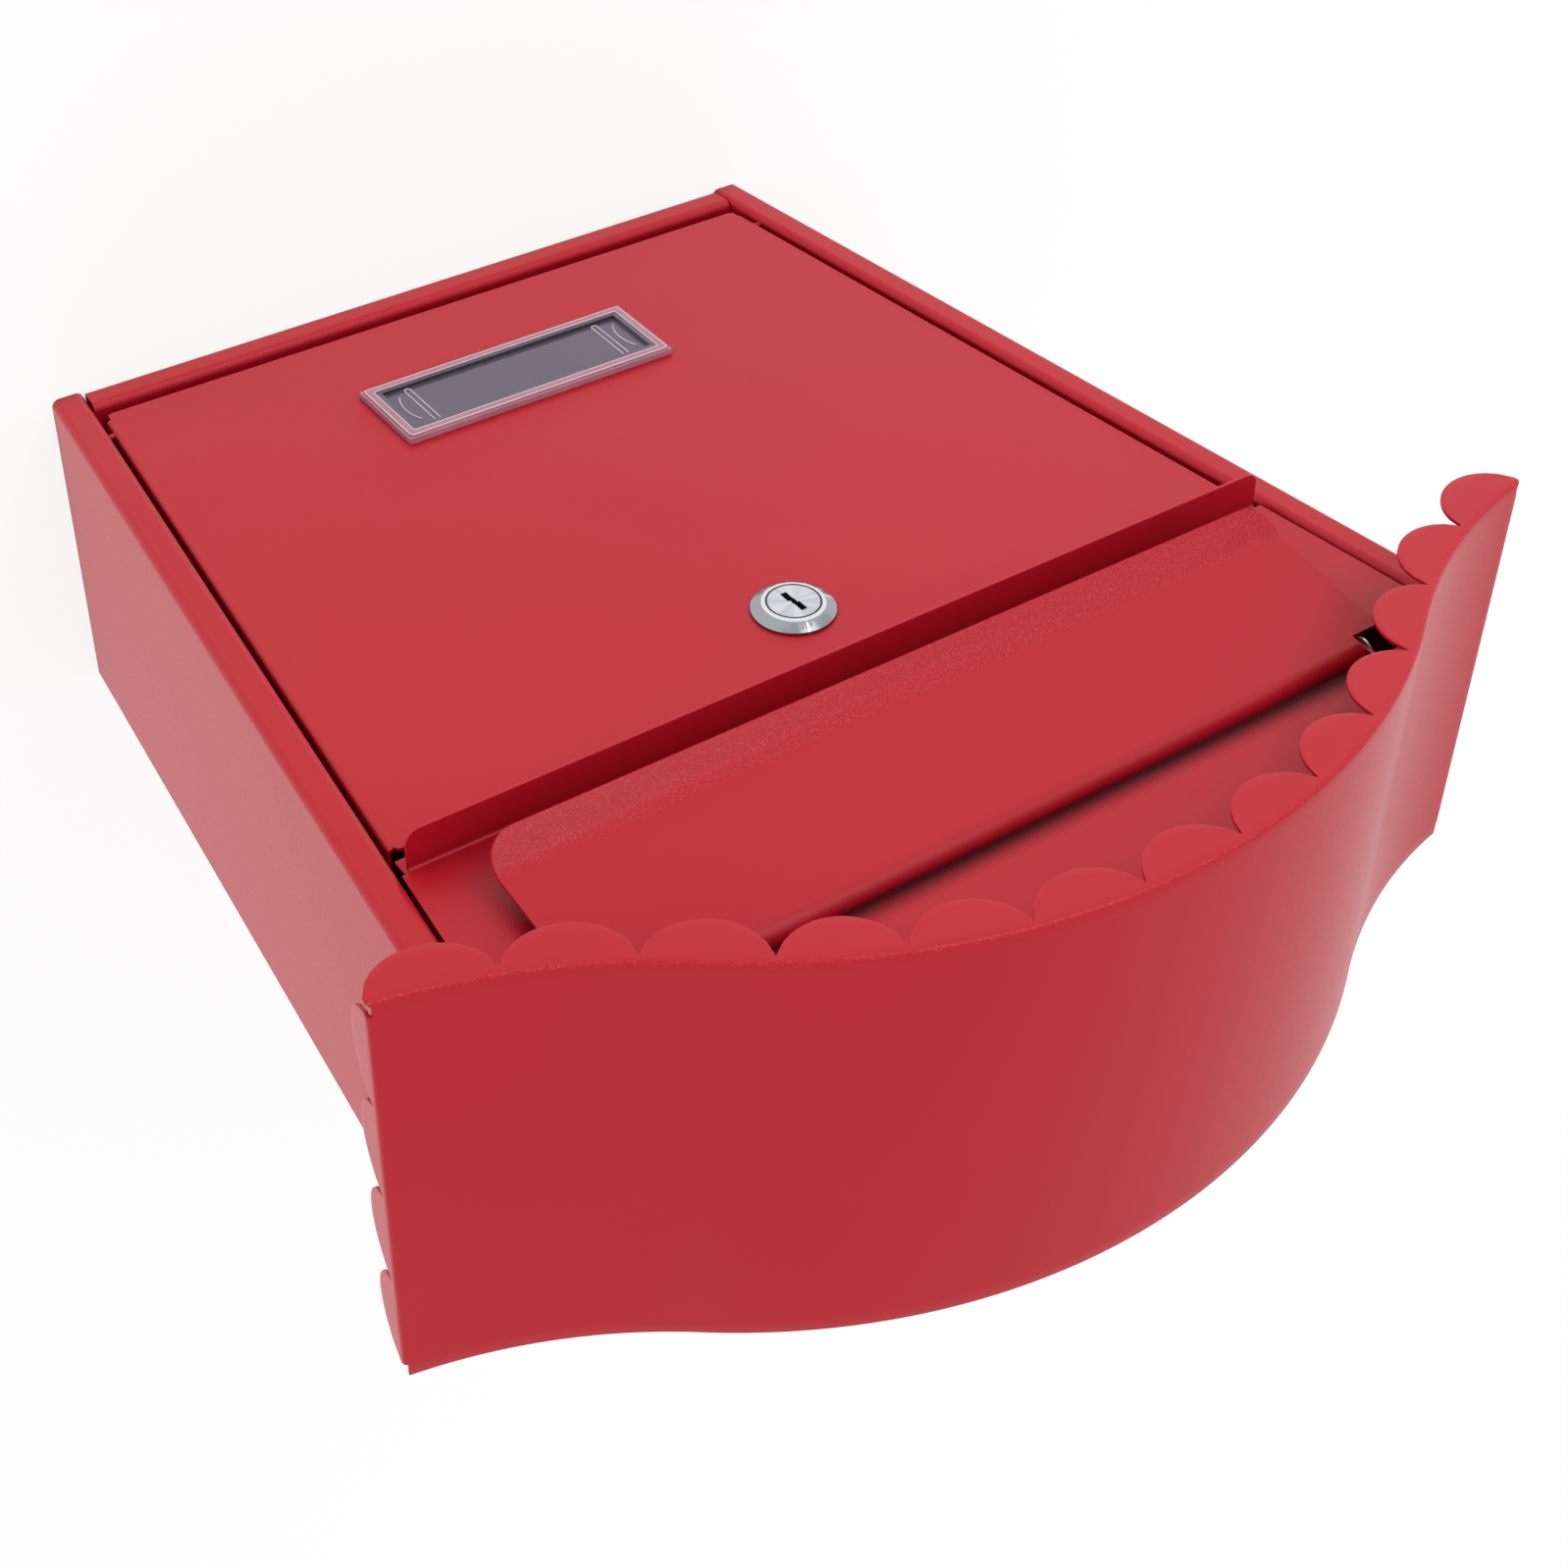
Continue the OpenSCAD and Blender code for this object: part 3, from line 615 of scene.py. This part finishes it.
joined = add(t, "GeometryNodeJoinGeometry", {"Geometry": top_sheet.outputs[0]})
t.links.new(side.outputs[0], joined.inputs[0])
t.links.new(turned.outputs[0], joined.inputs[0])
welded = add(t, "GeometryNodeMergeByDistance", {"Geometry": joined.outputs[0], "Distance": 0.02 * mm})
end_tree(t, welded.outputs[0], size["Finish"])

# %% Make the roof from the tree


def run_tree(name, tree, values):
    """A new object made by a node tree, with each named input set by its socket's identifier."""
    piece = bpy.data.objects.new(name, bpy.data.meshes.new(name))
    bpy.context.collection.objects.link(piece)
    modifier = piece.modifiers.new("rule", "NODES")
    modifier.node_group = tree
    for socket in tree.interface.items_tree:
        if socket.in_out == "INPUT" and socket.name in values:
            modifier[socket.identifier] = values[socket.name]
    return piece


roof = run_tree("roof_skin", roof_tree, {**roof_sizes, "Finish": paint})
wall = roof.modifiers.new("sheet", "SOLIDIFY")
wall.thickness = SHEET
wall.offset = -1
wall.use_even_offset = True
round_edges(roof, EDGE)
as_plain_mesh(roof)
shade(roof)


def on_front_fold(face):
    """True for the faces that turn from the front flange into the top."""
    return face.center.y < roof_low.y + FOLD_R and -0.97 < face.normal.y < -0.2


repaint(roof, grainy_paint, on_front_fold)
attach(roof, bodies["roof"])
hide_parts("roof")
print("roof:", len(roof.data.polygons), "faces")

# %% [markdown]
# ## Lock, hinges and name holder
# These pieces are small, turned or moulded. Their shapes are right as they come, so each gets the same
# kind of softened copy, and takes its own finish.

# %% Finish the small pieces
softened("lock_housing", chrome, edge=0.15 * mm)
plug = softened("lock_plug", nickel, edge=0.08 * mm)
plug_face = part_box("lock_plug")[0].y
KEYWAY_HALF = (1.5 * mm, 4.8 * mm)
KEYWAY_DEPTH = 15 * mm


def in_keyway(face):
    """True for the faces inside the slot that takes the key."""
    sunk = 0.1 * mm < face.center.y - plug_face < KEYWAY_DEPTH
    return sunk and abs(face.center.x) < KEYWAY_HALF[0] and abs(face.center.z - lock_z) < KEYWAY_HALF[1]


# The inside of the keyway takes a near-black finish: painted shade.
repaint(plug, dark, in_keyway)
small = {"flap_rod": (steel, "steel"), "rod_clips": (steel, "steel"), "door_pins": (paint, "paint"),
         "lock_nut": (zinc, "zinc"), "cam": (zinc, "zinc"), "cam_washer": (zinc, "zinc"),
         "cam_screw": (zinc, "zinc")}
for node, (material, slot) in small.items():
    softened(node, material, edge=0.1 * mm)
print("small pieces finished:", 2 + len(small))

# %% [markdown]
# ## Name holder
# The holder is moulded in clear plastic: a rim and a sunken smoky window, with thin ribs at each end that
# spring a card into place. Every moulded edge catches the light as a fine bright line, and here those lines
# are painted highlights: thin pale rods laid round the rim. The ribs are real, and their pale finish is
# partly a painted highlight too. The lines and the ribs are all thin rods on a path, so one node tree bends
# them all: two rounded rectangles round the rim, and at each end an arc and a narrow loop.

# %% Finish the name holder
holder = softened("name_holder", holder_finish)
print(holder.name, len(holder.data.polygons), "faces")

# %% Build the node tree for the rim's painted highlight lines and the ribs
RIM = 5 * mm
RECESS = 1.2 * mm
LINE_INSET = 1.1 * mm
ARC_INSET = 2.2 * mm
rib_sizes = {
    "Rod radius": 0.22 * mm,
    "Rib radius": 14 * mm,
    "Rib sweep": math.radians(58),
    "Rib distance": holder_high.x - RIM - ARC_INSET,
    "Loop distance": holder_high.x - RIM - 8 * mm,
    "Loop width": 1.9 * mm,
    "Loop height": 2 * (holder_high.z - holder_mid.z - RIM) - 1.2 * mm,
    "Corner": 0.9 * mm,
    "Outer width": 2 * (holder_high.x - LINE_INSET),
    "Outer height": 2 * (holder_high.z - holder_mid.z - LINE_INSET),
    "Line step": 2 * (WINDOW_INSET - LINE_INSET),
    "Height": holder_mid.z,
    "Rim face": holder_low.y + 0.12 * mm,
    "Window face": holder_low.y + RECESS - 0.1 * mm,
}
rib_tree, rib = new_tree("holder_ribs_and_highlight_lines", rib_sizes)


def place_curve(tree, curve, x, face):
    """Stands a flat curve upright and moves it to x, on one of the holder's two faces."""
    place = add(tree, "ShaderNodeCombineXYZ", {0: x, 1: face, 2: rib["Height"]}).outputs[0]
    inputs = {"Geometry": curve, "Translation": place, "Rotation": (math.pi / 2, 0, 0)}
    return add(tree, "GeometryNodeTransform", inputs).outputs[0]


def loop(tree, width, height):
    """A rectangle with round corners."""
    sides = {"Width": width, "Height": height}
    sharp = add(tree, "GeometryNodeCurvePrimitiveQuadrilateral", sides).outputs[0]
    inputs = {"Curve": sharp, "Radius": rib["Corner"], "Count": 4, "Limit Radius": True}
    return add(tree, "GeometryNodeFilletCurve", inputs, mode="POLY").outputs[0]


t = rib_tree
start = calc(t, "MULTIPLY", rib["Rib sweep"], -0.5)
arc = add(t, "GeometryNodeCurveArc", {"Resolution": 24, "Radius": rib["Rib radius"], "Start Angle": start,
                                      "Sweep Angle": rib["Rib sweep"]}).outputs[0]
arc_x = calc(t, "SUBTRACT", rib["Rib distance"], rib["Rib radius"])
arc = place_curve(t, arc, arc_x, rib["Window face"])
narrow = loop(t, rib["Loop width"], rib["Loop height"])
narrow = place_curve(t, narrow, rib["Loop distance"], rib["Window face"])
shift = calc(t, "ADD", calc(t, "MULTIPLY", rib["Rib distance"], -2.0), ARC_INSET)
shift = add(t, "ShaderNodeCombineXYZ", {0: shift}).outputs[0]
other_arc = add(t, "GeometryNodeTransform", {"Geometry": arc, "Translation": shift}).outputs[0]
shift = add(t, "ShaderNodeCombineXYZ", {0: calc(t, "MULTIPLY", rib["Loop distance"], -2.0)}).outputs[0]
other_narrow = add(t, "GeometryNodeTransform", {"Geometry": narrow, "Translation": shift}).outputs[0]
# painted highlights: two pale rods round the rim stand for the light its moulded edges catch
outer = place_curve(t, loop(t, rib["Outer width"], rib["Outer height"]), 0.0, rib["Rim face"])
inner_width = calc(t, "SUBTRACT", rib["Outer width"], rib["Line step"])
inner_height = calc(t, "SUBTRACT", rib["Outer height"], rib["Line step"])
inner = place_curve(t, loop(t, inner_width, inner_height), 0.0, rib["Rim face"])
paths = add(t, "GeometryNodeJoinGeometry", {"Geometry": arc})
for path in (narrow, other_arc, other_narrow, outer, inner):
    t.links.new(path, paths.inputs[0])
inputs = {"Resolution": 10, "Radius": rib["Rod radius"]}
ring = add(t, "GeometryNodeCurvePrimitiveCircle", inputs).outputs[0]
inputs = {"Curve": paths.outputs[0], "Profile Curve": ring, "Fill Caps": True}
rods = add(t, "GeometryNodeCurveToMesh", inputs)
end_tree(t, rods.outputs[0], rib["Finish"])

# %% Make the rim's painted highlight lines and the ribs
lines = as_plain_mesh(run_tree("holder_ribs_and_highlight_lines", rib_tree, {**rib_sizes, "Finish": clear_edge_highlight}))
shade(lines, 50)
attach(lines, bodies["name_holder"])
print("rim lines and ribs:", len(lines.data.polygons), "faces")

# %% [markdown]
# ## Camera, floor and light
# The photograph was taken from above the roof's right end with the box on its back, so the camera here
# is rolled by more than a right angle. The light is a white tent all round, which shows a little darker
# overhead where a glossy surface mirrors it, and one large soft lamp in front models the forms a little.

# %% Set the camera
camera_data = bpy.data.cameras.new("camera")
camera_data.lens = 61.95
camera_data.sensor_width = 36
camera_data.clip_start = 0.01
camera = bpy.data.objects.new("camera", camera_data)
camera.location = (0.3581, -0.4822, 0.6796)
camera.rotation_euler = [math.radians(angle) for angle in (-41.554, -35.722, -178.173)]
bpy.context.collection.objects.link(camera)
bpy.context.scene.camera = camera
print("camera at", tuple(camera.location))

# %% Lay the floor
FLOOR_R = 8.0
floor_mesh = bpy.data.meshes.new("floor")
disc = bmesh.new()
bmesh.ops.create_circle(disc, cap_ends=True, segments=96, radius=FLOOR_R)
disc.to_mesh(floor_mesh)
disc.free()
floor = bpy.data.objects.new("floor", floor_mesh)
floor.location.z = -0.3 * mm
bpy.context.collection.objects.link(floor)
WHITE = (1, 1, 1, 1)
WHITE_SHARE = 0.8
floor_gloss = {"Roughness": 0.9, "Specular_IOR_Level": 0.1}
floor_finish, floor_nodes, floor_shader, floor_place = new_finish("pale_floor", **floor_gloss)
cloud = noise(floor_nodes, floor_place, 3, detail=2)
pale = mixed(floor_nodes, cloud, (0.93, 0.93, 0.93, 1), (0.96, 0.96, 0.96, 1))
floor_nodes.links.new(pale, floor_shader.inputs["Base Color"])
# Most of what the camera sees of the floor is plain white, so that it stays white but keeps the shadow.
path = add(floor_nodes, "ShaderNodeLightPath").outputs
glow = spread(floor_nodes, path["Is Glossy Ray"], 1.03, 1.25)
white = add(floor_nodes, "ShaderNodeEmission", {"Color": WHITE, "Strength": glow}).outputs[0]
direct = calc(floor_nodes, "MAXIMUM", path["Is Camera Ray"], path["Is Glossy Ray"])
direct = calc(floor_nodes, "MAXIMUM", direct, path["Is Transmission Ray"])
share = calc(floor_nodes, "MULTIPLY", direct, WHITE_SHARE)
blend = add(floor_nodes, "ShaderNodeMixShader", {0: share, 1: floor_shader.outputs[0], 2: white})
floor_nodes.links.new(blend.outputs[0], floor_nodes.nodes["Material Output"].inputs["Surface"])
floor_mesh.materials.append(floor_finish)
print("floor laid")

# %% Set the light
SKY = 0.88
HORIZON = 0.95
ZENITH = 0.5
world = bpy.data.worlds.new("light_tent")
bpy.context.scene.world = world
world.use_nodes = True
sky = world.node_tree
path = add(sky, "ShaderNodeLightPath").outputs
seen = calc(sky, "MAXIMUM", path["Is Camera Ray"], path["Is Transmission Ray"])
plain = spread(sky, seen, SKY, 1.0)
# A glossy surface mirrors a tent that is bright at the horizon and dimmer overhead.
height = xyz(sky, add(sky, "ShaderNodeTexCoord").outputs["Generated"])[2]
inputs = {"Value": height, "From Min": 0.1, "From Max": 0.6, "To Min": HORIZON, "To Max": ZENITH}
mirrored = add(sky, "ShaderNodeMapRange", inputs).outputs[0]
strength = add(sky, "ShaderNodeMix", {0: path["Is Glossy Ray"], 2: plain, 3: mirrored}).outputs[0]
background = sky.nodes["Background"]
background.inputs["Color"].default_value = WHITE
sky.links.new(strength, background.inputs["Strength"])


def soft_lamp(name, location, target, width, watts):
    """A round area lamp that points at its target."""
    data = bpy.data.lights.new(name, "AREA")
    data.shape = "DISK"
    data.size = width
    data.energy = watts
    lamp = bpy.data.objects.new(name, data)
    lamp.location = location
    aim = mathutils.Vector(target) - mathutils.Vector(location)
    lamp.rotation_euler = aim.to_track_quat("-Z", "Y").to_euler()
    bpy.context.collection.objects.link(lamp)


soft_lamp("front_lamp", (-0.5, -1.7, 1.1), (0, 0, 0.18), 1.2, 6.5)
bpy.context.scene.view_settings.view_transform = "Standard"
print("light set")
